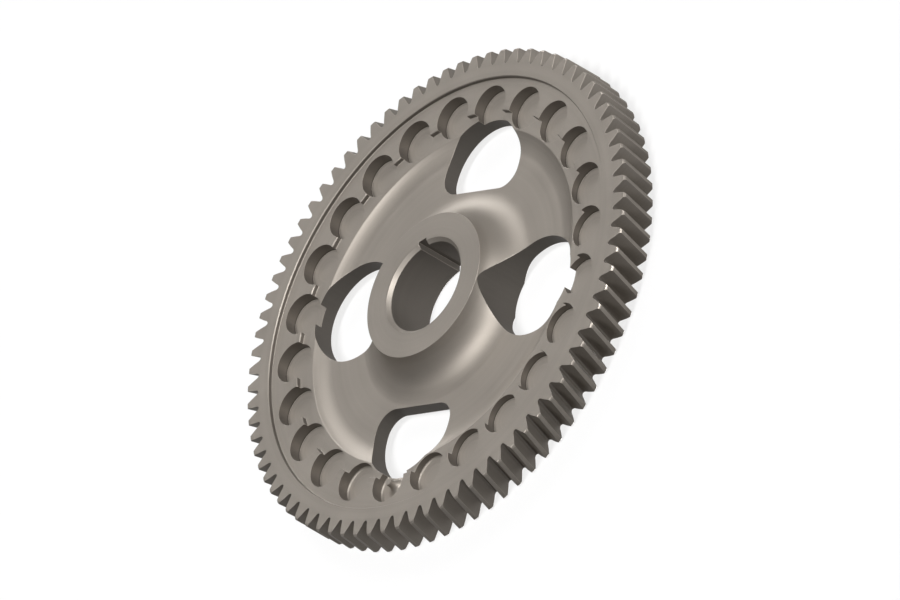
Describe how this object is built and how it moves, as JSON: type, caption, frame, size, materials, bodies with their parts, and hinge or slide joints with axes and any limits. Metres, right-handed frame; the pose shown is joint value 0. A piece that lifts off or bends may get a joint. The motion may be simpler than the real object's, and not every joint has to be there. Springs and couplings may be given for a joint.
{
  "type": "camshaft gear",
  "caption": "Helical timing gear for a camshaft: toothed rim with a ring of blind pockets, dished web with windows, and a proud hub with a keyed bore.",
  "frame": {"origin": "on the bore axis at the back face, on which the gear rests", "axes": "+Z along the bore axis towards the proud side of the hub, +X through the middle of a round window, +Y through the middle of a flat-sided window"},
  "size_m": [0.2266, 0.2266, 0.0248],
  "materials": {
    "steel": "satin, turned and milled"
  },
  "bodies": {
    "root": {"camshaft_gear": "steel"}
  },
  "joints": []
}
